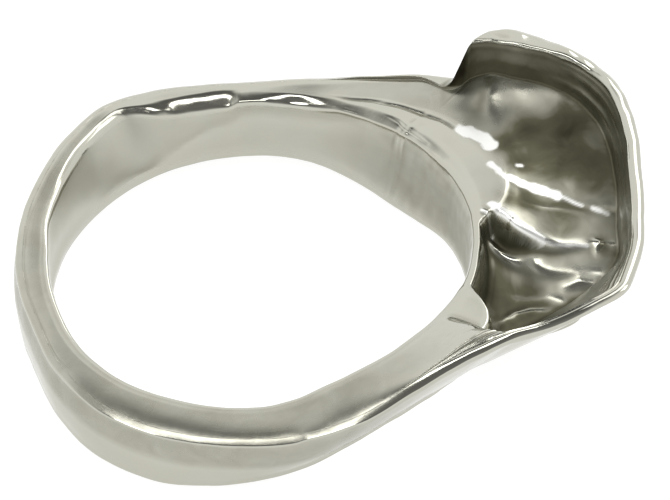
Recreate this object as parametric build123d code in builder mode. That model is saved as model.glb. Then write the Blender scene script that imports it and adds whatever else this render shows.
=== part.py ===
import os
from collections import namedtuple
from math import cos, exp, radians, sin

from build123d import *

# A one-piece cast ring that lies on its side. The finger hole's axis is +Z, the hollow head points
# along +X, and the origin is the middle of the hole, half the shank's height above the floor.
# Lengths are in millimetres, and angles in degrees round +Z from +X.
finger_bore = 17.9
shank_wall = 1.55
shank_height = 3.0
shoulder_lift = 1.2
head_reach = 7.3
head_height = 6.5
shelf_height = 4.2
floor_thickness = 0.85
collar_wall = 0.6
collar_lip = 0.6
collar_lean = 0.7
land_edge_width = 0.7
fold_height = 0.45
fold_width = 0.6
dent_depth = 0.3
dent_width = 2.6
edge_round = 0.3
face_dome = 0.1

bore_radius = finger_bore / 2
floor_level = -shank_height / 2

# A row for each section round the hole. The wall from the hole outwards is wall, a share of
# shank_wall, and reach, a share of what the head adds to it up to head_reach. The outer rim's height
# is shank_height and rise, a share of what the head adds up to head_height. The inner edge's height
# takes shelf instead, up to shelf_height. Flare and foot are shares of the wall at that angle: how
# far the hole's upper edge leans back, and where the outer wall stands. Lift is a share of
# shoulder_lift, and collar says how much of the thin collar's own form is there.
Section = namedtuple("Section", "angle wall reach rise shelf flare foot lift collar")
sections = [
    Section(-180, 0.96, 0.00, 0.00, 0.00, 0.04, 1.00, 0.00, 0.0),
    Section(-160, 0.92, 0.00, 0.00, 0.00, 0.10, 1.00, 0.00, 0.0),
    Section(-140, 1.20, 0.00, 0.00, 0.00, 0.20, 1.05, 0.00, 0.0),
    Section(-125, 1.42, 0.00, 0.00, 0.00, 0.17, 1.08, 0.00, 0.0),
    Section(-113, 1.46, 0.00, 0.01, 0.00, 0.12, 1.08, 0.00, 0.0),
    Section(-100, 1.45, 0.00, 0.03, 0.02, 0.09, 0.96, 0.10, 0.0),
    Section(-90, 1.48, 0.00, 0.07, 0.10, 0.06, 0.85, 0.30, 0.0),
    Section(-80, 1.55, 0.01, 0.14, 0.25, 0.04, 0.72, 0.60, 0.0),
    Section(-70, 1.60, 0.02, 0.27, 0.50, 0.03, 0.54, 0.85, 0.0),
    Section(-60, 1.60, 0.02, 0.43, 0.75, 0.02, 0.42, 1.00, 0.1),
    Section(-50, 1.60, 0.07, 0.59, 0.90, 0.02, 0.31, 0.95, 0.3),
    Section(-41, 1.60, 0.19, 0.72, 0.95, 0.02, 0.24, 0.80, 0.6),
    Section(-32, 1.30, 0.52, 0.84, 0.95, 0.02, 0.17, 0.50, 1.0),
    Section(-24, 1.00, 0.88, 0.92, 0.92, 0.02, 0.13, 0.20, 1.0),
    Section(-18, 1.00, 1.04, 0.96, 0.90, 0.02, 0.19, 0.05, 1.0),
    Section(-10, 1.00, 1.04, 0.98, 0.92, 0.02, 0.42, 0.00, 1.0),
    Section(-4, 1.00, 1.02, 1.00, 0.95, 0.02, 0.66, 0.00, 1.0),
    Section(4, 1.00, 1.03, 1.00, 1.00, 0.02, 0.74, 0.00, 1.0),
    Section(14, 1.00, 1.10, 1.00, 1.02, 0.03, 0.75, 0.00, 1.0),
    Section(25, 1.00, 1.16, 1.00, 1.04, 0.03, 0.74, 0.00, 1.0),
    Section(31, 1.00, 1.11, 1.01, 1.04, 0.03, 0.74, 0.00, 1.0),
    Section(37, 1.00, 1.00, 1.02, 1.02, 0.03, 0.74, 0.00, 1.0),
    Section(42, 1.00, 0.86, 1.03, 1.00, 0.03, 0.76, 0.00, 1.0),
    Section(46.5, 1.00, 0.66, 1.05, 0.97, 0.04, 0.78, 0.00, 1.0),
    Section(48, 1.00, 0.52, 0.46, 0.95, 0.04, 0.80, 0.00, 0.2),
    Section(54, 1.00, 0.36, 0.35, 0.80, 0.05, 0.82, 0.02, 0.0),
    Section(65, 1.10, 0.17, 0.24, 0.55, 0.08, 0.85, 0.10, 0.0),
    Section(78, 1.10, 0.05, 0.17, 0.30, 0.12, 0.90, 0.22, 0.0),
    Section(92, 1.06, 0.00, 0.15, 0.25, 0.16, 0.95, 0.28, 0.0),
    Section(104, 1.22, 0.00, 0.13, 0.22, 0.21, 0.95, 0.28, 0.0),
    Section(116, 1.62, 0.00, 0.12, 0.20, 0.36, 0.85, 0.26, 0.0),
    Section(126, 1.76, 0.00, 0.11, 0.20, 0.64, 0.82, 0.24, 0.0),
    Section(137, 1.54, 0.00, 0.08, 0.15, 0.56, 0.85, 0.18, 0.0),
    Section(150, 1.26, 0.00, 0.05, 0.08, 0.41, 0.92, 0.10, 0.0),
    Section(166, 1.06, 0.00, 0.02, 0.02, 0.21, 0.98, 0.03, 0.0),
]

# The land is the top face beside the hole in the head: out is where it ends and the hollow starts,
# as a share of head_reach from the hole.
Land = namedtuple("Land", "angle out")
lands = [
    Land(-36, 0.46),
    Land(-31, 0.29),
    Land(-26, 0.20),
    Land(-22, 0.10),
    Land(-18, 0.07),
    Land(6, 0.07),
    Land(12, 0.12),
    Land(20, 0.20),
    Land(30, 0.26),
    Land(46, 0.30),
]

# The hollow's floor from the near side to the far side: across is a share of the hole's radius along
# Y, and level a share of the way from the thinnest floor up to the shelf.
Terrace = namedtuple("Terrace", "across level")
terraces = [
    Terrace(-0.05, 0.00),
    Terrace(0.10, 0.04),
    Terrace(0.30, 0.12),
    Terrace(0.45, 0.28),
    Terrace(0.57, 0.38),
    Terrace(0.66, 0.62),
    Terrace(0.76, 0.92),
    Terrace(0.84, 0.97),
    Terrace(1.00, 1.00),
]

# Folds of that floor, which run out from the hole: start and end are the fold's place along Y, as a
# share of the hole's radius, at the land and at the collar, and rise is a share of fold_height.
Fold = namedtuple("Fold", "start end rise")
folds = [
    Fold(0.60, 0.36, 0.9),
    Fold(0.30, 0.20, 0.8),
    Fold(0.16, 0.02, 1.0),
    Fold(-0.20, -0.14, 0.6),
]

# Shares of a section that its outline is drawn by.
largest_round = 0.2
flare_fall = 0.8
flare_middle = 0.5
nearest_brink = 0.05
farthest_brink = 0.8
narrowest_edge = 0.1
bevel_back = 0.25
bevel_fall = 0.33
crest_fall = 0.17
side_fall = 0.67

# The collar ends in a step between collar_end and step_end, so the sections stand close there.
dent_angle = 119
head_start = -46
head_front = 0
collar_end = 46
step_end = 48
shank_sections = 17
near_head_sections = 14
far_head_sections = 14
floor_steps = 5


def ease(t):
    """Smooth step from 0 to 1."""
    t = min(max(t, 0), 1)
    return t * t * (3 - 2 * t)


def crown(t):
    """Height of the slight dome of a face, at a share of the way across it."""
    return face_dome * 4 * t * (1 - t)


def follow(rows, column, angle):
    """Value of a column at an angle, smooth between the rows and never beyond them."""
    turns = [-360, 0, 360]
    spots = [row.angle + turn for turn in turns for row in rows]
    values = [getattr(row, column) for turn in turns for row in rows]
    grades = [(values[i + 1] - values[i]) / (spots[i + 1] - spots[i]) for i in range(len(spots) - 1)]
    i = max(k for k in range(1, len(spots) - 2) if spots[k] <= angle)
    start = 2 * grades[i - 1] * grades[i] / (grades[i - 1] + grades[i]) if grades[i - 1] * grades[i] > 0 else 0
    end = 2 * grades[i] * grades[i + 1] / (grades[i] + grades[i + 1]) if grades[i] * grades[i + 1] > 0 else 0
    gap = spots[i + 1] - spots[i]
    t = (angle - spots[i]) / gap
    rise = values[i] + (values[i + 1] - values[i]) * ease(t)
    return rise + gap * t * (1 - t) * (start * (1 - t) - end * t)


Cut = namedtuple("Cut", "outer rim inner sill foot hem edge lip drop lean collar")


def cut_at(angle):
    """Radii and heights of the ring's section at an angle."""
    share = Section(angle, *[follow(sections, column, angle) for column in Section._fields[1:]])
    wall = shank_wall * share.wall + (head_reach - shank_wall) * share.reach
    away = radians(angle - dent_angle) * (bore_radius + wall)
    edge = min(edge_round, wall * (1 - share.flare) * largest_round)
    return Cut(
        outer=bore_radius + wall,
        rim=shank_height + (head_height - shank_height) * share.rise - dent_depth * exp(-((away / dent_width) ** 2)),
        inner=bore_radius + wall * share.flare,
        sill=shank_height + (shelf_height - shank_height) * share.shelf,
        foot=bore_radius + wall * share.foot,
        hem=shoulder_lift * share.lift,
        edge=edge,
        lip=edge + (collar_wall - edge) * share.collar,
        drop=edge + (collar_lip - edge) * share.collar,
        lean=collar_lean * share.collar,
        collar=share.collar,
    )


def underside(cut, r):
    """Height of the outer wall as it climbs from the foot to the lip."""
    climb = min(max((r - cut.foot) / (cut.outer - cut.foot), 0), 1) if cut.outer > cut.foot else 0
    return cut.hem + (cut.rim - cut.drop - cut.hem) * climb - crown(climb)


def hollow_floor(cut, r, angle, out):
    """Height of the hollow's floor: terraces and folds, and never thinner than the metal below."""
    across = r * sin(radians(angle)) / bore_radius
    level = terraces[0].level
    for low, high in zip(terraces, terraces[1:]):
        level += (high.level - low.level) * ease((across - low.across) / (high.across - low.across))
    base = cut.hem + floor_thickness
    height = base + (cut.sill - base) * level
    for fold in folds:
        away = (across - fold.start - (fold.end - fold.start) * out) * bore_radius
        height += fold_height * fold.rise * exp(-((away / fold_width) ** 2))
    return max(height, underside(cut, r) + floor_thickness)


def top_face(cut, angle):
    """Points of the top face from the hole's edge to the lip, with the hollow sunk into it."""
    start = cut.inner + cut.edge
    span = cut.outer - cut.lip - cut.lean - cut.edge * bevel_fall - start
    land_out = bore_radius + head_reach * follow(lands, "out", angle)
    brink = min(max((land_out - start) / span, nearest_brink), farthest_brink)
    bottom = max((land_out + land_edge_width - start) / span, brink + narrowest_edge)
    bottom = min(bottom, farthest_brink + narrowest_edge)
    shares = [0, brink / 2, brink, (brink + bottom) / 2]
    shares += [bottom + (1 - bottom) * k / floor_steps for k in range(floor_steps + 1)]
    crest = cut.rim + (cut.sill - cut.rim) * cut.collar
    points = []
    for t in shares:
        r = start + span * t
        land = cut.sill + (crest - cut.sill) * t
        sink = ease((r - land_out) / land_edge_width) * cut.collar
        out = max(t - brink, 0) / (1 - brink)
        height = land + (hollow_floor(cut, r, angle, out) - land) * sink
        points.append((r, height + crown(t)))
    return points


def outline(angle):
    """Closed outline of the section, as distances from the hole's axis and heights above the floor."""
    cut = cut_at(angle)
    flare = cut.inner - bore_radius
    inside = bore_radius - cut.edge
    return [
        (inside, cut.hem + 2 * cut.edge),
        (inside, cut.sill - 2 * cut.edge - flare_fall * flare),
        (bore_radius + flare_middle * flare, cut.sill - cut.edge - (1 - flare_middle) * flare_fall * flare),
        (cut.inner + cut.edge * bevel_back, cut.sill - cut.edge * bevel_fall),
        *top_face(cut, angle),
        (cut.outer - cut.lip, cut.rim - cut.edge * crest_fall),
        (cut.outer - cut.lip / 2, cut.rim - cut.edge * bevel_fall * (1 - cut.collar)),
        (cut.outer - cut.edge * crest_fall, cut.rim - cut.edge * side_fall),
        (cut.outer, cut.rim - cut.drop),
        ((cut.outer + cut.foot) / 2 + face_dome, (cut.rim - cut.drop + cut.hem + cut.edge) / 2),
        (cut.foot, cut.hem + cut.edge),
        (cut.foot - cut.edge, cut.hem),
        (bore_radius + cut.edge, cut.hem),
    ]


def section_plane(angle):
    """Upright plane through the hole's axis, with its own X on the floor and pointing out."""
    out = (cos(radians(angle)), sin(radians(angle)), 0)
    side = (sin(radians(angle)), -cos(radians(angle)), 0)
    return Plane(origin=(0, 0, floor_level), x_dir=out, z_dir=side)


def stations(start, end, count):
    """Evenly spaced angles, both ends included."""
    return [start + (end - start) * k / count for k in range(count + 1)]


near_half = stations(-180, head_start, shank_sections) + stations(head_start, head_front, near_head_sections)[1:]
far_half = stations(head_front, collar_end, far_head_sections) + stations(step_end, 180, shank_sections)

with BuildPart() as ring_body:
    for half in (near_half, far_half):
        for angle in half:
            with BuildSketch(section_plane(angle)):
                with BuildLine():
                    Polyline(*outline(angle), close=True)
                make_face()
        loft(ruled=True)
    with BuildSketch(Plane.XY.offset(floor_level)):
        Circle(bore_radius)
    extrude(amount=head_height, mode=Mode.SUBTRACT)

os.makedirs("parts", exist_ok=True)
ring_body.part.label = "ring_body"
export_step(ring_body.part, "parts/ring_body.step")
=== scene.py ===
from collections import namedtuple
from math import cos, exp, hypot, pi, radians, sin

import bpy
import numpy as np
from mathutils import Matrix, Vector, noise


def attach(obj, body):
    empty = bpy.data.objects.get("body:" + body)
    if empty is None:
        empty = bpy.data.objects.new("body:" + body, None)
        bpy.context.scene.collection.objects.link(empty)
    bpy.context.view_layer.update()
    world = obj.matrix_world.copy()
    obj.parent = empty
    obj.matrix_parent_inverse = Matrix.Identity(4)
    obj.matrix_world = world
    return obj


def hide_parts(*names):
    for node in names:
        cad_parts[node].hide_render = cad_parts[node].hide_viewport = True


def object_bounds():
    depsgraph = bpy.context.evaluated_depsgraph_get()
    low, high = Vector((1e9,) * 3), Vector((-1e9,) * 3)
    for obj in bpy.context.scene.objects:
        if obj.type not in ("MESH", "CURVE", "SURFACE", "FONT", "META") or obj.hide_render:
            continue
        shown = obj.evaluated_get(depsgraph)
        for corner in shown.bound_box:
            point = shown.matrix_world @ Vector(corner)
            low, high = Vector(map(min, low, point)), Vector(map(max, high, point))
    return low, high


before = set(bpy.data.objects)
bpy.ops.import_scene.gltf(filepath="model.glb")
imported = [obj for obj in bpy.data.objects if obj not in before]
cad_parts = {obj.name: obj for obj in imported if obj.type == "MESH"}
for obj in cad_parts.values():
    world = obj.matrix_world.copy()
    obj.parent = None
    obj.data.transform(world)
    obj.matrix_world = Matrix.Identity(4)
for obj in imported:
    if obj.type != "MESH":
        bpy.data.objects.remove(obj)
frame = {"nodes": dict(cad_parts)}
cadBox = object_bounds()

print("frame loaded:", ", ".join(frame["nodes"]))

# Millimetres in the tables below, with heights above the floor; metres in Blender and for the lamps.
mm = 0.001
floorLevel = cadBox[0].z / mm

# Camera: looks down at the ring from its near side, with the head on the right.
cameraView = {
    "distance": 220.0,
    "elevation": 44.0,
    "across": 3.21,
    "up": 2.37,
    "lens": 274.2,
    "sensor": 36.0,
    "clip": 0.01,
}


def makeCamera(view):
    tilt = radians(view["elevation"])
    back = Vector((0, -cos(tilt), sin(tilt)))
    up = Vector((0, sin(tilt), cos(tilt)))
    spot = back * view["distance"] + up * view["up"] + Vector((view["across"], 0, floorLevel))
    data = bpy.data.cameras.new("camera")
    data.lens = view["lens"]
    data.sensor_width = view["sensor"]
    data.clip_start = view["clip"]
    camera = bpy.data.objects.new("camera", data)
    camera.location = spot * mm
    camera.rotation_euler = (radians(90 - view["elevation"]), 0, 0)
    bpy.context.scene.collection.objects.link(camera)
    bpy.context.scene.camera = camera


makeCamera(cameraView)
print("camera set")

# The cast ring's form: lengths in millimetres, angles in degrees round the hole.
ring = {
    "bore": 17.9,
    "shankWall": 1.55,
    "shankHeight": 3.0,
    "shoulderLift": 1.2,
    "headReach": 7.3,
    "headHeight": 6.5,
    "shelfHeight": 4.2,
    "floorThickness": 0.7,
    "collarLean": 0.8,
    "collarHollow": 0.10,
    "lipInnerFall": 0.14,
    "lipInnerWidth": 0.22,
    "lipCurve": 2.2,
    "beadEnd": 37,
    "beadBlend": 8,
    "landEdge": 0.45,
    "landShares": (0.05, 0.8),  # least and most of the top that the land takes
    "brinkShares": (0.08, 0.9),  # how far on the brink ends: least after the land, and most
    "innerRound": 0.16,
    "innerCurve": 1.6,
    "innerRoom": 1.2,
    "outerRound": 0.15,
    "outerCurve": 3,
    "lowRound": 0.5,
    "footRound": 0.3,
    "flareSlope": 1.6,
    "flareDrop": 0.4,
    "flareCurve": 1.3,
    "dentDepth": 0.3,
    "dentWidth": 2.6,
    "dentAngle": 119,
    "foldReach": 3,  # half widths
    "foldFade": 0.1,
    "handSoftness": 0.04,
    "liftScale": 0.5,
    "liftFrom": 1,
    "wave": 0.16,
    "waveScale": 0.8,
    "softenings": 3,
    "softShare": 2 / 3,
    "softAngles": (-45, 50),
    "softBlend": 4,
    "edgeWobble": 0.6,
    "edgeWobbleScale": 0.22,
    "wobbleAngles": (62, 142),
    "wobbleBlend": 8,
    "lipWobble": 0.10,
    "lipWobbleScale": 1.3,
    "lipWobbleBias": 0.3,
    "lipWobbleFrom": 12,
    "lipWobbleBlend": 15,
    "lipDepth": 0.4,
    "lipBlend": 0.3,
    "bendLimit": 4,
    "bendSmoothings": 6,
}
boreRadius = ring["bore"] / 2

# A row for each section round the hole: wall and reach give its thickness, rise the outer rim's
# height, shelf the inner edge's, flare how far that edge leans back, foot where the outer wall
# stands, lift how far the underside is off the floor, collar how much of the collar stands, hollow
# how much of the hollow is sunk, lean how far the collar leans, belly how the lower edge swells.
Section = namedtuple("Section", "angle wall reach rise shelf flare foot lift collar hollow lean belly")
sections = [
    Section(-180, 0.96, 0.00, 0.00, 0.00, 0.06, 1.00, 0.00, 0.0, 0.0, 0.0, 0.00),
    Section(-160, 0.92, 0.00, 0.00, 0.00, 0.10, 1.00, 0.00, 0.0, 0.0, 0.0, 0.00),
    Section(-140, 1.20, 0.00, 0.00, 0.00, 0.20, 1.05, 0.00, 0.0, 0.0, 0.0, 0.00),
    Section(-125, 1.42, 0.00, 0.00, 0.00, 0.17, 1.08, 0.00, 0.0, 0.0, 0.0, 0.00),
    Section(-113, 1.46, 0.00, 0.01, 0.00, 0.12, 1.08, 0.00, 0.0, 0.0, 0.0, 0.00),
    Section(-100, 1.45, 0.00, 0.03, 0.02, 0.09, 0.96, 0.10, 0.0, 0.0, 0.0, 0.00),
    Section(-90, 1.48, 0.00, 0.07, 0.10, 0.06, 0.85, 0.30, 0.0, 0.0, 0.0, 0.00),
    Section(-80, 1.55, 0.01, 0.14, 0.35, 0.04, 0.72, 0.60, 0.0, 0.0, 0.0, 0.00),
    Section(-70, 1.60, 0.02, 0.27, 0.80, 0.03, 0.54, 0.85, 0.0, 0.0, 0.0, 0.00),
    Section(-60, 1.60, 0.02, 0.43, 1.02, 0.02, 0.42, 1.00, 0.0, 0.0, 0.0, 0.00),
    Section(-50, 1.60, 0.07, 0.59, 1.15, 0.02, 0.31, 0.95, 0.1, 0.0, 0.2, 0.00),
    Section(-41, 1.60, 0.19, 0.72, 1.22, 0.02, 0.24, 0.80, 0.5, 0.0, 0.6, 0.00),
    Section(-36, 1.45, 0.33, 0.78, 1.22, 0.02, 0.20, 0.65, 0.8, 0.1, 0.9, 0.00),
    Section(-32, 1.30, 0.52, 0.84, 1.22, 0.02, 0.17, 0.50, 1.0, 1.0, 0.9, 0.00),
    Section(-24, 1.00, 0.86, 0.92, 1.18, 0.02, 0.13, 0.20, 1.0, 1.0, 0.8, 0.00),
    Section(-18, 1.00, 1.01, 0.96, 1.02, 0.02, 0.19, 0.05, 1.0, 1.0, 0.7, 0.00),
    Section(-10, 1.00, 1.02, 0.98, 0.95, 0.02, 0.42, 0.00, 1.0, 1.0, 0.6, 0.00),
    Section(-4, 1.00, 1.00, 1.00, 0.95, 0.02, 0.66, 0.00, 1.0, 1.0, 0.5, 0.00),
    Section(4, 1.00, 1.005, 1.00, 0.95, 0.02, 0.74, 0.00, 1.0, 1.0, 0.5, 0.00),
    Section(14, 1.00, 1.08, 1.00, 0.92, 0.03, 0.75, 0.00, 1.0, 1.0, 0.4, 0.00),
    Section(25, 1.00, 1.14, 1.00, 0.88, 0.03, 0.74, 0.00, 1.0, 1.0, 0.2, 0.10),
    Section(31, 1.00, 1.09, 1.03, 0.86, 0.03, 0.74, 0.00, 1.0, 1.0, 0.1, 0.25),
    Section(37, 1.00, 0.985, 1.045, 0.85, 0.03, 0.74, 0.00, 1.0, 1.0, 0.1, 0.45),
    Section(42, 1.00, 0.885, 1.048, 0.84, 0.03, 0.76, 0.00, 1.0, 1.0, 0.1, 0.55),
    Section(46.4, 1.00, 0.72, 1.049, 0.82, 0.04, 0.78, 0.00, 1.0, 1.0, 0.1, 0.60),
    Section(46.9, 1.00, 0.64, 0.80, 0.82, 0.04, 0.79, 0.00, 0.6, 1.0, 0.1, 0.60),
    Section(48.4, 1.00, 0.54, 0.42, 0.80, 0.04, 0.80, 0.00, 0.1, 1.0, 0.0, 0.60),
    Section(50.5, 1.00, 0.48, 0.33, 0.79, 0.05, 0.81, 0.01, 0.0, 0.9, 0.0, 0.58),
    Section(56, 1.00, 0.36, 0.33, 0.74, 0.05, 0.83, 0.03, 0.0, 0.7, 0.0, 0.50),
    Section(65, 1.10, 0.17, 0.28, 0.62, 0.08, 0.85, 0.10, 0.0, 0.4, 0.0, 0.30),
    Section(78, 1.10, 0.05, 0.20, 0.47, 0.12, 0.90, 0.22, 0.0, 0.0, 0.0, 0.05),
    Section(92, 1.06, 0.00, 0.18, 0.48, 0.16, 0.95, 0.28, 0.0, 0.0, 0.0, 0.00),
    Section(104, 1.22, 0.00, 0.16, 0.36, 0.21, 0.95, 0.28, 0.0, 0.0, 0.0, 0.00),
    Section(116, 1.62, 0.00, 0.15, 0.20, 0.36, 0.85, 0.26, 0.0, 0.0, 0.0, 0.00),
    Section(126, 1.76, 0.00, 0.14, 0.20, 0.64, 0.82, 0.24, 0.0, 0.0, 0.0, 0.00),
    Section(137, 1.54, 0.00, 0.08, 0.15, 0.56, 0.85, 0.18, 0.0, 0.0, 0.0, 0.00),
    Section(150, 1.26, 0.00, 0.05, 0.08, 0.41, 0.92, 0.10, 0.0, 0.0, 0.0, 0.00),
    Section(166, 1.06, 0.00, 0.02, 0.02, 0.24, 0.98, 0.03, 0.0, 0.0, 0.0, 0.00),
]

# How the top is rounded: how far it falls at the hole's edge and at the rim, and over what width;
# how wide the collar's lip is, and how far the outer wall swells.
Crown = namedtuple("Crown", "angle innerFall innerWidth outerFall outerWidth lip swell")
crowns = [
    Crown(-180, 0.04, 0.35, 0.20, 0.85, 0.3, 0.10),
    Crown(-150, 0.06, 0.40, 0.25, 1.30, 0.3, 0.12),
    Crown(-120, 0.05, 0.40, 0.34, 2.00, 0.3, 0.12),
    Crown(-88, 0.05, 0.40, 0.35, 2.00, 0.3, 0.12),
    Crown(-82, 0.05, 0.40, 0.33, 1.90, 0.3, 0.12),
    Crown(-79, 0.05, 0.40, 0.20, 1.90, 0.3, 0.12),
    Crown(-71, 0.05, 0.40, 0.20, 1.80, 0.3, 0.12),
    Crown(-67, 0.05, 0.40, 0.28, 1.60, 0.3, 0.12),
    Crown(-48, 0.05, 0.40, 0.18, 1.00, 0.4, 0.12),
    Crown(-36, 0.06, 0.35, 0.12, 0.56, 0.5, 0.12),
    Crown(-15, 0.08, 0.25, 0.12, 0.46, 0.5, 0.20),
    Crown(5, 0.12, 0.30, 0.14, 0.46, 0.55, 0.45),
    Crown(25, 0.18, 0.45, 0.20, 0.60, 0.60, 0.50),
    Crown(36, 0.20, 0.50, 0.22, 0.75, 0.95, 0.45),
    Crown(41, 0.20, 0.50, 0.20, 0.75, 1.35, 0.40),
    Crown(46, 0.20, 0.50, 0.20, 0.75, 1.40, 0.35),
    Crown(56, 0.20, 0.55, 0.20, 0.60, 0.4, 0.12),
    Crown(68, 0.12, 0.50, 0.20, 0.60, 0.3, 0.12),
    Crown(72, 0.20, 0.50, 0.20, 0.75, 0.3, 0.12),
    Crown(86, 0.20, 0.50, 0.20, 0.75, 0.3, 0.12),
    Crown(90, 0.10, 0.55, 0.20, 0.75, 0.3, 0.12),
    Crown(96, 0.10, 0.55, 0.20, 0.75, 0.3, 0.12),
    Crown(99, 0.32, 0.80, 0.20, 0.70, 0.3, 0.12),
    Crown(115, 0.30, 0.75, 0.16, 0.60, 0.3, 0.12),
    Crown(122, 0.14, 0.40, 0.14, 0.50, 0.3, 0.12),
    Crown(132, 0.13, 0.30, 0.14, 0.50, 0.3, 0.12),
    Crown(146, 0.14, 0.32, 0.18, 0.60, 0.3, 0.12),
    Crown(158, 0.05, 0.30, 0.18, 0.60, 0.3, 0.12),
    Crown(172, 0.05, 0.30, 0.20, 0.70, 0.3, 0.12),
]

# Where the land beside the hole ends and the hollow starts, as a share of the head's reach.
Land = namedtuple("Land", "angle out")
lands = [
    Land(-40, 0.22),
    Land(-36.4, 0.26),
    Land(-33, 0.28),
    Land(-30.4, 0.285),
    Land(-26.9, 0.25),
    Land(-23.8, 0.175),
    Land(-21, 0.10),
    Land(-18, 0.06),
    Land(4, 0.05),
    Land(9, 0.13),
    Land(14, 0.23),
    Land(20, 0.28),
    Land(26, 0.28),
    Land(32, 0.27),
    Land(40, 0.25),
    Land(46, 0.22),
    Land(56, 0.15),
    Land(68, 0.07),
]

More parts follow.
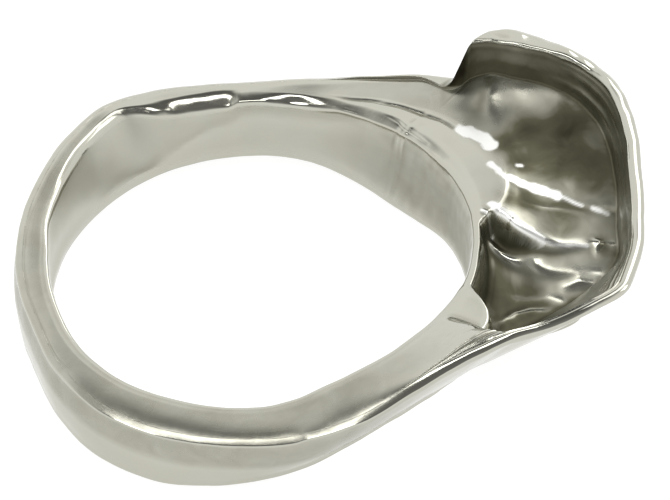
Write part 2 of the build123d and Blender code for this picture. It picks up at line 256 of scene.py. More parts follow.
# Lines that run across the hollow from the land to the collar, from the far side to the near
# side, each as (x, y, height above the floor). The floor hangs between them like a cloth.
hollowLines = {
    "farWall": [
        (4.0, 11.6, 3.70), (7.0, 11.6, 3.96), (8.0, 11.6, 4.20), (9.0, 11.6, 4.80),
        (10.0, 11.6, 5.20), (11.0, 11.6, 5.30), (16.0, 11.6, 5.00),
    ],
    "shelf": [
        (4.0, 9.6, 3.72), (7.0, 9.2, 4.00), (7.9, 9.0, 4.08), (8.6, 9.0, 4.26), (9.4, 9.0, 4.48),
        (10.2, 8.9, 4.64), (12.0, 8.8, 4.66), (16.0, 8.4, 4.48),
    ],
    "shelfLip": [
        (4.0, 8.6, 3.70), (7.0, 8.1, 3.98), (8.6, 7.8, 4.07), (9.4, 7.7, 4.12), (10.2, 7.6, 4.24),
        (12.0, 7.6, 4.24), (16.0, 7.5, 4.16),
    ],
    "farCrest": [
        (6.5, 7.5, 3.95), (7.7, 7.3, 4.02), (8.6, 7.15, 4.04), (9.5, 7.0, 4.07), (10.4, 6.95, 4.12),
        (11.6, 7.0, 4.12), (12.5, 7.05, 4.12), (16.0, 7.05, 4.06),
    ],
    "farGully": [
        (6.5, 6.9, 3.95), (7.7, 6.5, 4.02), (8.6, 6.2, 4.04), (9.5, 6.1, 4.05), (10.4, 6.1, 4.04),
        (11.6, 6.2, 4.00), (12.5, 6.3, 3.98), (16.0, 6.3, 3.92),
    ],
    "slopeTop": [
        (8.6, 5.2, 4.05), (9.7, 5.0, 4.06), (10.3, 4.56, 4.06), (10.9, 4.1, 4.00),
        (11.6, 3.74, 3.84), (12.5, 3.62, 3.64), (13.3, 3.36, 3.48), (14.0, 3.12, 3.36),
        (16.0, 2.9, 3.24),
    ],
    "slopeFoot": [
        (8.6, 4.3, 4.08), (9.7, 4.15, 4.07), (10.3, 3.9, 4.06), (10.9, 3.3, 3.96),
        (11.6, 3.0, 3.74), (12.5, 2.96, 3.50), (13.3, 2.88, 3.34), (14.0, 2.78, 3.26),
        (16.0, 2.6, 3.16),
    ],
    "treadBack": [
        (8.6, 3.8, 4.10), (9.8, 3.65, 4.08), (10.3, 3.45, 4.06), (10.9, 2.95, 3.97),
        (11.6, 2.7, 3.72), (12.5, 2.7, 3.44), (13.3, 2.66, 3.26), (16.0, 2.4, 3.06),
    ],
    "tread": [
        (8.8, 2.9, 4.12), (9.8, 2.7, 4.09), (10.3, 2.45, 4.07), (10.8, 2.1, 4.00),
        (11.4, 1.72, 3.84), (12.1, 1.5, 3.58), (13.0, 1.5, 3.30), (14.4, 1.6, 3.09),
        (16.0, 1.7, 2.98),
    ],
    "riserCrest": [
        (9.0, 2.4, 4.13), (9.8, 2.18, 4.10), (10.3, 1.85, 4.07), (10.75, 1.5, 3.98),
        (11.2, 1.15, 3.86), (11.7, 0.8, 3.67), (12.2, 0.62, 3.47), (12.9, 0.57, 3.27),
        (14.2, 0.61, 3.07), (16.0, 0.7, 2.98),
    ],
    "riserEdge": [
        (9.0, 2.0, 4.10), (9.8, 1.78, 3.97), (10.3, 1.46, 3.91), (10.75, 1.1, 3.84),
        (11.2, 0.77, 3.69), (11.7, 0.5, 3.48), (12.2, 0.36, 3.30), (12.9, 0.34, 3.12),
        (14.2, 0.4, 2.97), (16.0, 0.5, 2.91),
    ],
    "riserFoot": [
        (9.0, 1.7, 4.05), (9.6, 1.5, 3.60), (9.9, 1.42, 3.12), (10.3, 1.26, 2.90),
        (10.75, 0.96, 2.83), (11.2, 0.62, 2.86), (11.7, 0.3, 2.94), (12.2, 0.18, 2.98),
        (12.9, 0.18, 2.97), (14.2, 0.24, 2.90), (15.0, 0.4, 2.90), (16.0, 0.45, 2.88),
    ],
    "trough": [
        (9.0, 1.5, 4.05), (9.5, 1.3, 3.50), (9.9, 1.15, 2.80), (10.3, 0.92, 2.58),
        (10.75, 0.62, 2.62), (11.2, 0.28, 2.72), (12.0, -0.16, 2.85), (12.9, -0.2, 2.83),
        (14.2, -0.14, 2.78), (16.0, 0.0, 2.76),
    ],
    "beigeCrest": [
        (9.0, 1.25, 4.05), (9.3, 1.05, 3.85), (9.6, 0.87, 3.30), (9.9, 0.77, 2.92),
        (10.3, 0.55, 2.66), (10.75, 0.24, 2.58), (11.2, -0.08, 2.56), (12.05, -0.58, 2.67),
        (13.0, -0.74, 2.64), (16.0, -0.72, 2.60),
    ],
    "beigeFoot": [
        (9.0, 0.9, 4.00), (9.3, 0.75, 3.40), (9.6, 0.55, 2.80), (9.9, 0.42, 2.56),
        (10.3, 0.22, 2.36), (10.75, -0.1, 2.28), (11.2, -0.42, 2.28), (12.05, -0.92, 2.38),
        (13.0, -1.12, 2.40), (16.0, -1.12, 2.42),
    ],
    "valley": [
        (9.0, -0.3, 3.90), (9.5, -0.5, 2.60), (10.3, -0.9, 2.04), (11.2, -1.4, 1.92),
        (13.0, -2.1, 1.98), (16.0, -2.1, 2.06),
    ],
    "nearValley": [
        (9.0, -2.4, 3.90), (9.6, -2.5, 2.30), (10.6, -2.7, 1.80), (12.0, -3.1, 1.80),
        (16.0, -3.3, 1.96),
    ],
    "tipFoot": [
        (9.0, -4.5, 4.20), (9.7, -4.5, 2.80), (10.6, -4.6, 2.05), (12.0, -4.7, 2.00),
        (16.0, -4.7, 2.05),
    ],
    "gully": [
        (8.6, -5.9, 4.50), (9.3, -5.9, 4.46), (9.9, -5.9, 3.60), (10.6, -5.9, 2.90),
        (12.0, -6.0, 2.50), (16.0, -6.0, 2.50),
    ],
    "nearEnd": [
        (8.0, -6.7, 4.52), (9.2, -6.7, 4.52), (10.2, -6.6, 4.10), (11.5, -6.9, 3.50),
        (16.0, -7.0, 3.00),
    ],
    "nearRim": [(8.0, -7.8, 4.60), (16.0, -7.8, 4.00)],
}

# Small folds laid over the top, and grooves with a height less than 0: half width, height, and
# places (x, y) along each.
Fold = namedtuple("Fold", "name width height path")
folds = [
    Fold("treadLine", 0.10, 0.04, [(11.3, 2.4), (12.0, 2.42), (12.9, 2.46), (13.9, 2.4)]),
    Fold("tonguePip", 0.12, 0.07, [(9.45, 1.55), (9.7, 1.4), (9.95, 1.2)]),
    Fold("lowFold", 0.24, 0.06, [(10.6, -1.3), (11.3, -1.6), (12.2, -1.6), (13.4, -2.1), (14.4, -2.1)]),
    Fold("nearFold", 0.18, 0.10, [
        (9.9, -3.8), (10.2, -3.2), (10.5, -2.75), (10.9, -2.4), (11.5, -2.2), (12.2, -2.2),
    ]),
    Fold("hook", 0.16, 0.10, [(14.3, 0.85), (14.55, 0.6), (14.45, 0.2)]),
    Fold("swirl", 0.20, 0.09, [(13.0, -1.3), (13.6, -1.1), (14.2, -1.2), (14.6, -1.5), (15.0, -1.3)]),
    Fold("beadGroove", 0.08, -0.06, [
        (5.5, 7.75), (5.93, 7.4), (6.44, 6.86), (7.22, 5.96), (8.1, 4.5), (8.65, 3.2), (9.1, 1.6),
    ]),
    Fold("crease", 0.10, -0.06, [(3.6, 9.1), (5.0, 8.8), (6.0, 8.4), (6.9, 7.9), (7.74, 7.4), (8.4, 6.9)]),
    Fold("swirlLow", 0.18, 0.07, [(13.2, -2.5), (13.7, -2.2), (14.3, -2.3), (14.7, -2.7)]),
]

# Where the hollow's floor is darkened: partly tarnish, partly painted shade on slopes that turn from the
# light (the shadow bands, the curtain, under the riser) and over the tongue and above the blob, where it
# dims their highlights. Place (x, y), how far it reaches, and how strongly.
StainAndShade = namedtuple("StainAndShade", "name x y reach strength")
stainsAndShades = [
    StainAndShade("land", 9.9, 3.4, 1.5, 0.14),
    StainAndShade("landLow", 9.5, 0.2, 1.4, 0.20),
    StainAndShade("beige", 12.4, -0.1, 0.8, 0.15),
    StainAndShade("shelfRight", 13.6, 7.9, 1.2, 0.60),
    StainAndShade("shelf", 9.8, 8.6, 0.9, 0.20),
    StainAndShade("shadow", 11.6, 6.75, 0.7, 0.95),
    StainAndShade("curtainLeft", 10.6, 5.9, 0.6, 0.75),
    StainAndShade("aboveBlob", 11.2, 4.75, 0.6, 0.70),
    StainAndShade("shadowRight", 13.2, 6.7, 0.8, 0.75),
    StainAndShade("curtain", 12.5, 5.3, 1.5, 0.85),
    StainAndShade("curtainRight", 14.6, 4.8, 1.6, 0.75),
    StainAndShade("tongue", 11.0, 2.5, 0.8, 0.75),
    StainAndShade("tread", 12.8, 1.7, 1.3, 0.55),
    StainAndShade("underRiser", 10.4, 1.05, 0.42, 0.20),
    StainAndShade("underTread", 11.2, 0.5, 0.40, 0.30),
    StainAndShade("valleyLeft", 9.95, -1.3, 0.9, 0.50),
    StainAndShade("valley", 11.2, -1.8, 1.5, 0.50),
    StainAndShade("nearValley", 11.0, -3.9, 1.7, 0.50),
    StainAndShade("nearCorner", 13.6, -3.4, 1.4, 0.15),
    StainAndShade("rightFoot", 14.9, 0.4, 0.8, 0.35),
]

# Where the high places are rubbed bright, along the hollow's crests where highlights fall: part wear, part
# painted highlight. Half width and places (x, y) along each.
RubHighlight = namedtuple("RubHighlight", "name width path")
rubHighlights = [
    RubHighlight("upper", 0.35, [(8.85, 6.75), (9.2, 6.55), (9.6, 6.25), (10.0, 5.75)]),
    RubHighlight("middle", 0.14, [(9.9, 4.6), (10.24, 4.2), (10.54, 3.75)]),
    RubHighlight("lower", 0.22, [(10.8, 3.74), (11.2, 3.5), (11.7, 3.36), (12.3, 3.3), (12.8, 3.14)]),
    RubHighlight("tail", 0.07, [(12.9, 3.2), (13.4, 3.0), (13.9, 2.8)]),
    RubHighlight("right", 0.11, [(14.3, 2.7), (14.6, 2.58), (14.9, 2.4)]),
    RubHighlight("spot", 0.08, [(11.1, 4.55), (11.25, 4.6)]),
    RubHighlight("crest", 0.19, [(9.92, 1.96), (10.24, 1.72), (10.6, 1.46)]),
    RubHighlight("crestFall", 0.18, [(10.9, 1.14), (11.3, 0.84), (11.65, 0.62), (12.0, 0.48)]),
    RubHighlight("crestLine", 0.06, [(12.0, 0.5), (12.4, 0.46), (12.9, 0.45), (14.1, 0.48)]),
    RubHighlight("pip", 0.08, [(9.5, 1.5), (9.9, 1.22)]),
]

# Beads along the collar's inner side, and a groove with a height less than 0: share of the way up
# the wall, half width and height.
collarBeads = [(0.28, 0.09, 0.07), (0.60, 0.08, 0.06), (0.86, 0.05, -0.06)]

# Slow waves of the hand in the whole surface: how close they stand, and how strong they are.
handWaves = [(0.35, 1), (0.9, 0.5), (2.1, 0.25)]

# How many points each stretch of a section has, and how close the sections stand.
pointsOf = {
    "inner": 12,
    "corner": 6,
    "land": 20,
    "brink": 14,
    "floor": 66,
    "collar": 26,
    "lip": 14,
    "outer": 12,
    "bottom": 6,
}
spans = [(-180, -46, 90), (-46, 46, 270), (46, 51, 26), (51, 180, 96)]

# Where the top face's points lie in a section, but for the last ones at the collar's foot.
topStart = pointsOf["inner"] + pointsOf["corner"]
topEnd = topStart + pointsOf["land"] + pointsOf["brink"] + pointsOf["floor"] - 3


def ease(t):
    t = min(max(t, 0), 1)
    return t * t * (3 - 2 * t)


def rise(value, start, width):  # 0 up to the start, and 1 from one width further on
    return ease((value - start) / width)


def fall(value, end, width):  # 1 up to one width before the end, and 0 from the end on
    return ease((end - value) / width)


def between(value, limits, width):
    return rise(value, limits[0], width) * fall(value, limits[1], width)


def meanGrade(before, after):  # a slope between two others, level where the line turns
    return 2 * before * after / (before + after) if before * after > 0 else 0


def follow(spots, values, at):  # a smooth line through the rows that never goes beyond them
    if at <= spots[0] or at >= spots[-1]:
        return values[0] if at <= spots[0] else values[-1]
    i = next(k for k in range(len(spots) - 1) if at < spots[k + 1])
    near = range(max(i - 1, 0), min(i + 2, len(spots) - 1))
    grades = [(values[k + 1] - values[k]) / (spots[k + 1] - spots[k]) for k in near]
    grades = grades[:1] * (i == 0) + grades + grades[-1:] * (i == len(spots) - 2)
    start, end = meanGrade(grades[0], grades[1]), meanGrade(grades[1], grades[2])
    gap = spots[i + 1] - spots[i]
    t = (at - spots[i]) / gap
    bow = gap * t * (1 - t) * (start * (1 - t) - end * t)
    return values[i] + (values[i + 1] - values[i]) * ease(t) + bow


def roundTable(rows, column):  # a column's rows with the turn before and after
    rounds = [(row, turn) for turn in (-360, 0, 360) for row in rows]
    return [row.angle + turn for row, turn in rounds], [getattr(row, column) for row, turn in rounds]


sectionTables = {column: roundTable(sections, column) for column in Section._fields[1:]}
crownTables = {column: roundTable(crowns, column) for column in Crown._fields[1:]}
landTable = roundTable(lands, "out")
acrossHollow = [tuple(zip(*line)) for line in reversed(hollowLines.values())]

Cut = namedtuple("Cut", "outer rim inner sill foot hem lean collar hollow belly crown")


def cutAt(angle):
    share = {column: follow(*table, angle) for column, table in sectionTables.items()}
    wall = ring["shankWall"] * share["wall"] + (ring["headReach"] - ring["shankWall"]) * share["reach"]
    away = radians(angle - ring["dentAngle"]) * (boreRadius + wall)
    dent = ring["dentDepth"] * exp(-((away / ring["dentWidth"]) ** 2))
    return Cut(
        outer=boreRadius + wall,
        rim=ring["shankHeight"] + (ring["headHeight"] - ring["shankHeight"]) * share["rise"] - dent,
        inner=boreRadius + wall * share["flare"],
        sill=ring["shankHeight"] + (ring["shelfHeight"] - ring["shankHeight"]) * share["shelf"],
        foot=boreRadius + wall * share["foot"],
        hem=ring["shoulderLift"] * share["lift"],
        lean=ring["collarLean"] * share["lean"],
        collar=share["collar"],
        hollow=share["hollow"],
        belly=share["belly"],
        crown=Crown(angle, *(follow(*crownTables[column], angle) for column in Crown._fields[1:])),
    )


def landEnd(angle):  # how far out the land goes
    return boreRadius + ring["headReach"] * follow(*landTable, angle)


def wallTop(cut):
    return cut.rim - cut.crown.outerFall - ring["outerRound"]


def underside(cut, r):  # height of the outer wall over a place under the head, from outerWall's bulge
    slope, swell = cut.outer - cut.foot, 4 * cut.crown.swell
    way = max(cut.outer - r, 0)
    down = (swell - slope + ((slope - swell) ** 2 + 4 * swell * way) ** 0.5) / (2 * swell)
    return wallTop(cut) + (cut.hem - wallTop(cut)) * min(down, 1)


def offPath(x, y, path):  # distance to a path, and the share of the way along it
    best = (1e9, 0)
    steps = len(path) - 1
    for k, ((x0, y0), (x1, y1)) in enumerate(zip(path, path[1:])):
        length = (x1 - x0) ** 2 + (y1 - y0) ** 2
        t = min(max(((x - x0) * (x1 - x0) + (y - y0) * (y1 - y0)) / length, 0), 1)
        best = min(best, (hypot(x - x0 - t * (x1 - x0), y - y0 - t * (y1 - y0)), (k + t) / steps))
    return best


def wavy(x, y):  # the hollow's own places, a little out of true as hand work is
    spot = Vector((x, y, 0)) * ring["waveScale"]
    return x + noise.noise(spot) * ring["wave"], y + noise.noise(spot + Vector((5, 2, 3))) * ring["wave"]


def hollowFloor(cut, r, angle):
    x, y = wavy(r * cos(radians(angle)), r * sin(radians(angle)))
    places = [follow(xs, ys, x) for xs, ys, heights in acrossHollow]
    height = follow(places, [follow(xs, heights, x) for xs, ys, heights in acrossHollow], y)
    return max(height, underside(cut, r) + ring["floorThickness"])


def foldAt(x, y):  # how much the folds and grooves lift a place
    x, y = wavy(x, y)
    height = 0
    for fold in folds:
        away, along = offPath(x, y, fold.path)
        if away < ring["foldReach"] * fold.width:
            fade = sin(pi * (ring["foldFade"] + (1 - 2 * ring["foldFade"]) * along))
            height += fold.height * exp(-((away / fold.width) ** 2)) * fade
    return height


def corner(before, point, after, reach, steps):  # points of a rounded corner
    a, b, c = Vector(before), Vector(point), Vector(after)
    start = b + (a - b) * min(reach / max((a - b).length, 1e-6), 0.5)
    end = b + (c - b) * min(reach / max((c - b).length, 1e-6), 0.5)
    shares = [k / (steps - 1) for k in range(steps)]
    return [tuple(start * (1 - t) ** 2 + b * 2 * t * (1 - t) + end * t * t) for t in shares]


def crowned(cut, r, z):  # a place on the top, let down where the top is rounded
    crown = cut.crown
    wobble = ring["edgeWobble"] * between(crown.angle, ring["wobbleAngles"], ring["wobbleBlend"])
    wobble = 1 + wobble * noise.noise(Vector((crown.angle * ring["edgeWobbleScale"], r, 0)))
    fromHole, fromRim = (r - cut.inner) / crown.innerWidth, (cut.outer - r) / crown.outerWidth
    z -= crown.innerFall * wobble * max(0, 1 - fromHole) ** ring["innerCurve"]
    z -= crown.outerFall * max(0, 1 - fromRim) ** ring["outerCurve"]
    return r, z


def innerWall(cut):
    count = pointsOf["inner"]
    low = cut.hem + ring["lowRound"]
    top = cut.sill - cut.crown.innerFall
    high = top - ring["innerRound"] * ring["innerRoom"]
    lean = cut.inner - boreRadius
    leanStart = max(low, top - ring["flareSlope"] * lean - ring["flareDrop"])
    points = []
    for k in range(count):
        t = k / (count - 1)
        z = low + (high - low) * t
        r = boreRadius + lean * min(max((z - leanStart) / (top - leanStart), 0), 1) ** ring["flareCurve"]
        points.append((r - cut.belly * (1 - t) ** 2, z))
    return points


def topFace(cut, angle):
    start = cut.inner + ring["innerRound"]
    end = cut.outer - cut.crown.lip - cut.lean
    span = end - start
    landOut = landEnd(angle)
    (leastLand, mostLand), (leastBrink, mostBrink) = ring["landShares"], ring["brinkShares"]
    brink = min(max((landOut - start) / span, leastLand), mostLand)
    bottom = min(max((landOut + ring["landEdge"] - start) / span, brink + leastBrink), mostBrink)
    counts = pointsOf["land"], pointsOf["brink"], pointsOf["floor"]
    shares = [brink * k / counts[0] for k in range(counts[0])]
    shares += [brink + (bottom - brink) * k / counts[1] for k in range(counts[1])]
    shares += [bottom + (1 - bottom) * k / (counts[2] - 1) for k in range(counts[2])]
    crest = cut.rim + (cut.sill - cut.rim) * cut.hollow
    points = []
    for t in shares:
        r = start + span * t
        land = cut.sill + (crest - cut.sill) * t
        sink = rise(r, landOut, ring["landEdge"]) * cut.hollow
        points.append((r, land + (hollowFloor(cut, r, angle) - land) * sink if sink > 0 else land))
    return points


def collarWall(cut, angle, floorEnd):
    count = pointsOf["collar"]
    foot, top = Vector(floorEnd), Vector((cut.outer - cut.crown.lip, cut.rim))
    side = Vector((top.y - foot.y, foot.x - top.x))
    side = side.normalized() if side.length > 1e-6 else side
    bead = cut.collar * fall(angle, ring["beadEnd"], ring["beadBlend"])
    points = []
    for k in range(1, count):
        t = k / count
        spot = foot.lerp(top, t) + side * ring["collarHollow"] * cut.collar * sin(pi * t)
        for share, width, height in collarBeads:
            spot = spot - side * height * bead * exp(-(((t - share) / width) ** 2))
        points.append(tuple(spot))
    return points


def lipTop(cut):
    count = pointsOf["lip"]
    points = []
    for k in range(count):
        t = k / (count - 1)
        inward = max(0, 1 - t * cut.crown.lip / ring["lipInnerWidth"])
        drop = ring["lipInnerFall"] * cut.collar * inward ** ring["lipCurve"]
        points.append((cut.outer - cut.crown.lip * (1 - t), cut.rim - drop))
    return points


def outerWall(cut):
    count = pointsOf["outer"]
    top, low = wallTop(cut), cut.hem + ring["footRound"]
    points = []
    for k in range(count):
        t = k / (count - 1)
        bulge = cut.crown.swell * 4 * t * (1 - t)
        points.append((cut.outer + (cut.foot - cut.outer) * t + bulge, top + (low - top) * t))
    return points


def profileAt(cut, angle):
    few = pointsOf["corner"]
    inner = innerWall(cut)
    edge = (cut.inner, cut.sill - cut.crown.innerFall)
    top = topFace(cut, angle)
    top += collarWall(cut, angle, top[-1]) + lipTop(cut)
    top = [crowned(cut, *spot) for spot in top]
    outer = outerWall(cut)
    bend = ring["footRound"]
    footOut = (cut.foot, cut.hem)
    footIn = (boreRadius - cut.belly, cut.hem)
    points = inner + corner(inner[-1], edge, top[0], ring["innerRound"], few) + top[:-1]
    points += corner(top[-2], top[-1], outer[0], ring["outerRound"], few) + outer
    points += corner(outer[-1], footOut, (cut.foot - 2 * bend, cut.hem), bend, few)
    count = pointsOf["bottom"]
    start, end = cut.foot - bend, boreRadius - cut.belly + ring["lowRound"]
    points += [(start + (end - start) * k / count, cut.hem) for k in range(1, count)]
    return points + corner((end, cut.hem), footIn, inner[0], ring["lowRound"], few)


def softened(profiles, angles):  # the hollow's floor without sharp folds
    shares = [ring["softShare"] * between(angle, ring["softAngles"], ring["softBlend"]) for angle in angles]
    share = np.array(shares)[:, None]
    first = topStart + 2
    for _ in range(ring["softenings"]):
        heights = profiles[:, :, 1]
        near = sum(np.roll(heights, step, axis) for axis in (0, 1) for step in (-1, 1)) / 4
        profiles[:, first:topEnd, 1] = (heights + (near - heights) * share)[:, first:topEnd]
    return profiles


def bendOf(grid, normals, axis):  # how sharply the surface bends along one way of the grid
    before, after = np.roll(grid, 1, axis), np.roll(grid, -1, axis)
    gap = np.maximum(((after - before) ** 2).sum(2), 1e-12) / 4
    return ((before + after - 2 * grid) * normals).sum(2) / gap


def markSurface(mesh, grid, darkened, rubbedHighlight):  # where it bends, is darkened (tarnish and painted shade) or rubbed bright (partly painted highlight), or faces the hole
    along = np.roll(grid, -1, 0) - np.roll(grid, 1, 0)
    across = np.roll(grid, -1, 1) - np.roll(grid, 1, 1)
    normals = np.cross(across, along)
    normals /= np.maximum(np.linalg.norm(normals, axis=2, keepdims=True), 1e-12)
    limit = ring["bendLimit"]
    bend = np.clip((bendOf(grid, normals, 0) + bendOf(grid, normals, 1)) * mm, -limit, limit)
    for _ in range(ring["bendSmoothings"]):
        bend = sum(np.roll(bend, step, axis) for axis in (0, 1) for step in (-1, 0, 1)) / 6
    inside = np.zeros(grid.shape[:2])
    inside[:, : pointsOf["inner"]] = 1
    marks = {"bend": bend, "darkening": np.array(darkened), "rubHighlight": np.array(rubbedHighlight), "inside": inside}
    for name, values in marks.items():
        attribute = mesh.attributes.new(name, "FLOAT", "POINT")
        attribute.data.foreach_set("value", values.ravel().astype(np.float32))


# Wear and painted shade: strengths, and in millimetres or degrees where each darkening starts or ends and
# over what width. The step's near-black face is painted shade, and the rubbed places are partly painted
# highlights.
wearAndShade = {
    "rubHighlightEdge": 0.12,
    "rubHighlightClear": 0.3,
    "raggedness": 0.36,
    "raggedScale": 3,
    "skin": 0.2,
    "skinBlend": 0.3,
    "floor": 0.3,
    "floorBlend": 0.6,
    "landClear": 0.4,
    "landBlend": 0.5,
    "wallClear": 0.3,
    "wallBack": 0.35,
    "wallBlend": 0.4,
    "wallLow": 0.6,
    "wallLowBlend": 0.2,
    "lipOver": 0.12,
    "lipBlend": 0.1,
    "rimClear": 0.15,
    "rimBlend": 0.4,
    "nearWall": 0.55,
    "farWallFrom": 26,
    "farWallBlend": 10,
    # Painted shadow on the step's face at the collar's far end:
    "deepShade": 2,
    "stepShadeFrom": 46.5,
    "stepShadeFromBlend": 0.3,
    "stepShadeTo": 49.6,
    "stepShadeToBlend": 0.8,
    "stepShadeHeight": 4.25,
    "stepShadeHeightBlend": 0.2,
    "stepShadeReach": 1.7,
    "stepShadeReachBlend": 0.4,
    "inside": 0.3,
    "insideFrom": -60,
    "insideFromBlend": 50,
    "insideTo": 80,
    "insideToBlend": 40,
    "insideDepth": 0.2,
    "insideDepthBlend": 0.1,
    "band": 0.40,
    "bandMiddle": -138,
    "bandHalf": 100,
    "bandBlend": 30,
    "bandEdgeBlend": 0.2,
    "bandHeight": 1.2,
    "bandHeightBlend": 0.6,
}


# Rubbed bright places, part wear and part painted highlight on the hollow's crests.
def rubHighlightAt(cut, x, y):
    if cut.hollow < 0.5 or hypot(x, y) < cut.inner + wearAndShade["rubHighlightClear"]:
        return 0
    x, y = wavy(x, y)
    edge = wearAndShade["rubHighlightEdge"]
    ragged = 1 + noise.noise(Vector((x, y, 9)) * wearAndShade["raggedScale"]) * wearAndShade["raggedness"]
    return max(fall(offPath(x, y, rubHighlight.path)[0], rubHighlight.width * ragged + edge / 2, edge) for rubHighlight in rubHighlights)


# Tarnish and painted shade on the hollow's floor, from the table of darkened places.
def floorStainAndShade(cut, angle, x, y):
    r = hypot(x, y)
    wallFoot = cut.outer - cut.crown.lip - cut.lean
    darkening = wearAndShade["floor"] * rise(r, landEnd(angle), wearAndShade["floorBlend"])
    for spot in stainsAndShades:
        darkening += spot.strength * exp(-((hypot(x - spot.x, y - spot.y) / spot.reach) ** 2))
    darkening *= rise(r, boreRadius + wearAndShade["landClear"], wearAndShade["landBlend"])
    return darkening * fall(r, wallFoot + wearAndShade["wallClear"], wearAndShade["wallClear"]) * cut.hollow


# Darkens the collar's inner wall, the far wall more than the near one.
def wallDarkening(cut, angle, r, z):
    lipStart = cut.outer - cut.crown.lip
    darkening = cut.collar * rise(r, lipStart - cut.lean - wearAndShade["wallBack"], wearAndShade["wallBlend"])
    darkening *= fall(r, lipStart + wearAndShade["lipOver"], wearAndShade["lipBlend"])
    darkening *= fall(z, cut.rim - wearAndShade["rimClear"], wearAndShade["rimBlend"])
    darkening *= rise(z, wearAndShade["wallLow"], wearAndShade["wallLowBlend"])
    farShare = rise(angle, wearAndShade["farWallFrom"], wearAndShade["farWallBlend"])
    return darkening * (wearAndShade["nearWall"] + (1 - wearAndShade["nearWall"]) * farShare)


# Painted shadow: the step's face at the collar's far end is made near black, standing in for the shade it
# lies in.
def paintedStepShade(cut, angle, r, z):  # the dark face of the step at the collar's far end
    darkening = wearAndShade["deepShade"] * rise(angle, wearAndShade["stepShadeFrom"], wearAndShade["stepShadeFromBlend"])
    darkening *= fall(angle, wearAndShade["stepShadeTo"], wearAndShade["stepShadeToBlend"])
    darkening *= rise(z, wearAndShade["stepShadeHeight"], wearAndShade["stepShadeHeightBlend"])
    return darkening * rise(r, cut.outer - wearAndShade["stepShadeReach"], wearAndShade["stepShadeReachBlend"])


# Darkens the hole's wall on the head's side, below where it leans out.
def insideDarkening(angle, r):
    darkening = wearAndShade["inside"] * rise(angle, wearAndShade["insideFrom"], wearAndShade["insideFromBlend"])
    darkening *= fall(angle, wearAndShade["insideTo"], wearAndShade["insideToBlend"])
    return darkening * fall(r, boreRadius + wearAndShade["insideDepth"], wearAndShade["insideDepthBlend"])


# Darkens the band on its near and left side, above its lower edge.
def bandDarkening(cut, angle, r, z):
    away = min(abs(angle - wearAndShade["bandMiddle"]), abs(angle - wearAndShade["bandMiddle"] - 360))
    darkening = wearAndShade["band"] * fall(away, wearAndShade["bandHalf"], wearAndShade["bandBlend"])
    darkening *= rise(r, cut.inner, wearAndShade["bandEdgeBlend"])
    return darkening * rise(z, wearAndShade["bandHeight"], wearAndShade["bandHeightBlend"])


# All darkening: tarnish and painted shade in the head, painted shade on the step, and the darkened hole
# wall and band.
def darkeningAt(cut, angle, x, y, z):
    r = hypot(x, y)
    onTop = rise(z, underside(cut, r) + wearAndShade["skin"], wearAndShade["skinBlend"])
    inHead = max(floorStainAndShade(cut, angle, x, y), wallDarkening(cut, angle, r, z)) * onTop
    return max(inHead, paintedStepShade(cut, angle, r, z), insideDarkening(angle, r), bandDarkening(cut, angle, r, z))


def handMade(spot, cut, angle, z):  # a place moved as the hand's slow waves and the lip's wobble ask
    out = Vector((cos(radians(angle)), sin(radians(angle)), 0))
    wave = sum(weight * noise.noise(spot * scale) for scale, weight in handWaves)
    spot += out * wave * ring["handSoftness"]
    onLip = cut.collar * rise(z, cut.rim - ring["lipDepth"], ring["lipBlend"])
    onLip *= rise(angle, ring["lipWobbleFrom"], ring["lipWobbleBlend"])
    wobble = noise.noise(spot * ring["lipWobbleScale"]) - ring["lipWobbleBias"]
    spot.z += wobble * ring["lipWobble"] * onLip
    if z > ring["liftFrom"]:
        spot.z += noise.noise(spot * ring["liftScale"] + Vector((7, 3, 1))) * ring["handSoftness"]
    return spot


def gridFaces(rows, columns):
    faces = []
    for i in range(rows):
        for j in range(columns):
            a, b, k = i * columns, (i + 1) % rows * columns, (j + 1) % columns
            faces.append((a + j, a + k, b + k, b + j))
    return faces


def makeRing():
    low, high = cadBox[0] / mm, cadBox[1] / mm
    angles = []
    for start, end, count in spans:
        angles += [start + (end - start) * k / count for k in range(count)]
    cuts = [cutAt(angle) for angle in angles]
    profiles = softened(np.array([profileAt(cut, angle) for cut, angle in zip(cuts, angles)]), angles)
    vertices, darkened, rubbedHighlight = [], [], []
    for cut, angle, profile in zip(cuts, angles, profiles):
        for j, (r, z) in enumerate(profile):
            x, y = r * cos(radians(angle)), r * sin(radians(angle))
            z += foldAt(x, y) if topStart < j < topEnd else 0
            spot = handMade(Vector((x, y, z + floorLevel)), cut, angle, z)
            spot = Vector(min(max(spot[k], low[k]), high[k]) for k in range(3))
            vertices.append(spot * mm)
            darkened.append(darkeningAt(cut, angle, x, y, z))
            rubbedHighlight.append(rubHighlightAt(cut, x, y))
    rows, columns = len(angles), len(vertices) // len(angles)
    mesh = bpy.data.meshes.new("castRing")
    mesh.from_pydata(vertices, [], gridFaces(rows, columns))
    mesh.validate()
    mesh.update()
    mesh.shade_smooth()
    grid = np.array([tuple(spot) for spot in vertices]).reshape(rows, columns, 3)
    markSurface(mesh, grid, darkened, rubbedHighlight)
    piece = bpy.data.objects.new("castRing", mesh)
    bpy.context.scene.collection.objects.link(piece)
    print("ring mesh:", rows, "sections of", columns, "points")
    return piece


castRing = makeRing()
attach(castRing, "root")
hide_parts("ring_body")


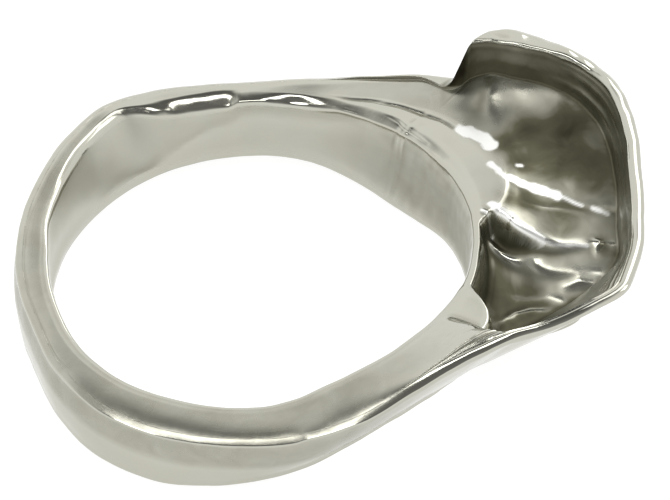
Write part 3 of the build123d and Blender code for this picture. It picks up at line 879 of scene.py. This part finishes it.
# Shader maths: an operator on a socket adds a Math node.
class Signal:
    def __init__(self, net, socket):
        self.net, self.socket = net, socket

    def math(self, operation, *values):
        return self.net.node("ShaderNodeMath", {"operation": operation}, dict(enumerate(values)))

    def __add__(self, other):
        return self.math("ADD", self, other)

    def __radd__(self, other):
        return self.math("ADD", other, self)

    def __sub__(self, other):
        return self.math("SUBTRACT", self, other)

    def __rsub__(self, other):
        return self.math("SUBTRACT", other, self)

    def __mul__(self, other):
        return self.math("MULTIPLY", self, other)

    def __rmul__(self, other):
        return self.math("MULTIPLY", other, self)

    def clamped(self):
        return self.math("MINIMUM", self.math("MAXIMUM", self, 0), 1)


class Net:
    def __init__(self, tree):
        self.tree = tree
        tree.nodes.clear()

    def node(self, kind, settings=None, values=None, output=0):
        made = self.tree.nodes.new(kind)
        for name, value in (settings or {}).items():
            if name == "stops":
                for k, (place, colour) in enumerate(value):
                    stop = made.color_ramp.elements[k] if k < 2 else made.color_ramp.elements.new(place)
                    stop.position, stop.color = place, colour
            else:
                setattr(made, name, value)
        for name, value in (values or {}).items():
            if isinstance(value, Signal):
                self.tree.links.new(value.socket, made.inputs[name])
            else:
                made.inputs[name].default_value = value
        return Signal(self, made.outputs[output]) if made.outputs else None

    def mix(self, share, first, second):
        return self.node("ShaderNodeMix", {"data_type": "RGBA"}, {0: share, 6: first, 7: second}, 2)

    def mark(self, name):  # one of the marks that markSurface leaves on the mesh
        return self.node("ShaderNodeAttribute", {"attribute_name": name}, output="Fac")


# Silver: colours, roughness, and the noises' scale, detail and distortion. The tarnish colour also carries
# painted shade, the darkest colour is painted shade, and the rubbed colour is partly a painted highlight.
silver = {
    "clean": (0.50, 0.50, 0.45, 1),
    "warm": (0.48, 0.47, 0.39, 1),
    "tarnishAndShade": (0.14, 0.135, 0.09, 1),
    "deepShade": (0.04, 0.036, 0.022, 1),
    "rubbedHighlight": (0.98, 0.98, 0.95, 1),
    "satin": 0.15,
    "polish": 0.06,
    "dull": 0.55,
    "inside": 0.42,
    "worn": 0.35,
    "polishedBend": 0.5,
    "polishedClears": 0.5,
    "stainedBend": 0.3,
    "stainedLeast": 0.3,
    "patchiness": 0.9,
    "cloud": (450.0, 4.0, 0.0),
    "patch": (900.0, 5.0, 0.8),
    "grain": (3500.0, 3.0, 0.0),
    "grainRoughness": 0.06,
    "grainBump": 0.12,
    "grainDepth": 0.00002,
}


def silverMaterial(look):
    material = bpy.data.materials.new("castSilver")
    material.use_nodes = True
    net = Net(material.node_tree)
    place = net.node("ShaderNodeTexCoord", output="Object")

    def noiseOf(name):
        values = dict(zip(("Scale", "Detail", "Distortion"), look[name]))
        return net.node("ShaderNodeTexNoise", {}, {"Vector": place} | values)

    cloud, patch, grain = noiseOf("cloud"), noiseOf("patch"), noiseOf("grain")
    bend, depth, rubHighlight, inside = net.mark("bend"), net.mark("darkening"), net.mark("rubHighlight"), net.mark("inside")
    proud = (0.0 - bend * look["polishedBend"]).clamped()
    sunk = (bend * look["stainedBend"]).clamped()
    darkening = depth + sunk * (cloud + look["stainedLeast"]) + (patch - 0.5) * look["patchiness"] * depth
    darkening = darkening - proud * look["polishedClears"]
    # Towards the dark colour where the darkening mark stands: tarnish, and painted shade on the hollow's
    # slopes.
    colour = net.mix(darkening.clamped(), net.mix(cloud, look["clean"], look["warm"]), look["tarnishAndShade"])
    # Deepest painted shade: near black where the darkening runs past 1, as on the step's face and in the
    # shadow band.
    colour = net.mix((darkening - 1.0).clamped(), colour, look["deepShade"])
    # Rubbed places near white: part wear, part painted highlight on the hollow's crests.
    colour = net.mix(rubHighlight, colour, look["rubbedHighlight"])
    rough = look["satin"] + (grain - 0.5) * look["grainRoughness"]
    rough = rough + darkening.clamped() * (look["dull"] - look["satin"])
    rough = rough + inside * (look["inside"] - look["satin"])
    rough = rough * (1.0 - proud) + proud * look["polish"]
    rough = rough * (1.0 - rubHighlight) + rubHighlight * look["worn"]
    relief = {"Strength": look["grainBump"], "Distance": look["grainDepth"], "Height": grain}
    values = {"Base Color": colour, "Metallic": 1.0, "Roughness": rough}
    values["Normal"] = net.node("ShaderNodeBump", {}, relief)
    shader = net.node("ShaderNodeBsdfPrincipled", {}, values)
    net.node("ShaderNodeOutputMaterial", {}, {"Surface": shader})
    return material


# Floor and light: each softbox has a name, a place, the way that its long side runs, a size and a power.
studio = {
    "floorColour": (0.3, 0.3, 0.3, 1),
    "floorRoughness": 0.9,
    "floorSheen": 0.1,
    "floorGlow": 0.85,
    "floorSize": 3.0,
    "backSky": [(0.0, 1.0), (0.74, 1.05), (0.82, 0.70), (0.90, 0.15), (1.0, 0.12)],
    "frontSky": [(0.0, 1.0), (0.48, 1.0), (0.66, 0.6), (0.78, 0.28), (1.0, 0.15)],
    "rightSky": [(0.0, 0.0), (0.42, 0.0), (0.62, 1.0), (1.0, 1.0)],
    "skyTurn": 2.0,
    "skyStrength": 1.15,
    "softboxes": [
        ("overhead", (-0.10, 0.01, 0.5), (0, 1, 0), (0.29, 0.10), 0.42),
        ("right", (0.33, 0.06, 0.38), (0, 1, 0), (0.13, 0.13), 0.12),
        ("side", (0.19, 0.27, 0.375), (-0.07, -0.75, 0.57), (0.13, 0.62), 0.55),
    ],
}


def makeFloor(look):
    half = look["floorSize"] / 2
    corners = [(x * half, y * half, floorLevel * mm) for x, y in ((-1, -1), (1, -1), (1, 1), (-1, 1))]
    mesh = bpy.data.meshes.new("floor")
    mesh.from_pydata(corners, [], [(0, 1, 2, 3)])
    floor = bpy.data.objects.new("floor", mesh)
    bpy.context.scene.collection.objects.link(floor)
    material = bpy.data.materials.new("paleFloor")
    material.use_nodes = True
    net = Net(material.node_tree)
    values = {"Base Color": look["floorColour"], "Roughness": look["floorRoughness"]}
    values |= {"Specular IOR Level": look["floorSheen"]}
    values |= {"Emission Color": (1, 1, 1, 1), "Emission Strength": look["floorGlow"]}
    shader = net.node("ShaderNodeBsdfPrincipled", {}, values)
    net.node("ShaderNodeOutputMaterial", {}, {"Surface": shader})
    mesh.materials.append(material)


def softbox(name, spot, along, size, power):
    data = bpy.data.lights.new(name, "AREA")
    data.shape = "RECTANGLE"
    data.size, data.size_y = size
    data.energy = power
    back = Vector(spot).normalized()
    side = Vector(along).cross(back).normalized()
    lamp = bpy.data.objects.new(name, data)
    lamp.location = spot
    lamp.rotation_mode = "QUATERNION"
    lamp.rotation_quaternion = Matrix((side, back.cross(side), back)).transposed().to_quaternion()
    bpy.context.scene.collection.objects.link(lamp)


def makeSky(look):
    world = bpy.data.worlds.new("studio")
    bpy.context.scene.world = world
    world.use_nodes = True
    net = Net(world.node_tree)
    way = net.node("ShaderNodeTexCoord", output="Generated")
    right, depth, height = (net.node("ShaderNodeSeparateXYZ", {}, {"Vector": way}, axis) for axis in "XYZ")

    def ramp(name, share):
        stops = [(place, (grey, grey, grey, 1)) for place, grey in look[name]]
        return net.node("ShaderNodeValToRGB", {"stops": stops}, {"Fac": share})

    towardBack = (depth * look["skyTurn"] + 0.5).clamped()
    colour = net.mix(towardBack, ramp("frontSky", height), ramp("backSky", height))
    colour = net.mix(ramp("rightSky", right), colour, (1, 1, 1, 1))
    sky = net.node("ShaderNodeBackground", {}, {"Color": colour, "Strength": look["skyStrength"]})
    net.node("ShaderNodeOutputWorld", {}, {"Surface": sky})


castRing.data.materials.append(silverMaterial(silver))
makeFloor(studio)
makeSky(studio)
for box in studio["softboxes"]:
    softbox(*box)
bpy.context.scene.view_settings.view_transform = "Standard"
print("materials and light set")
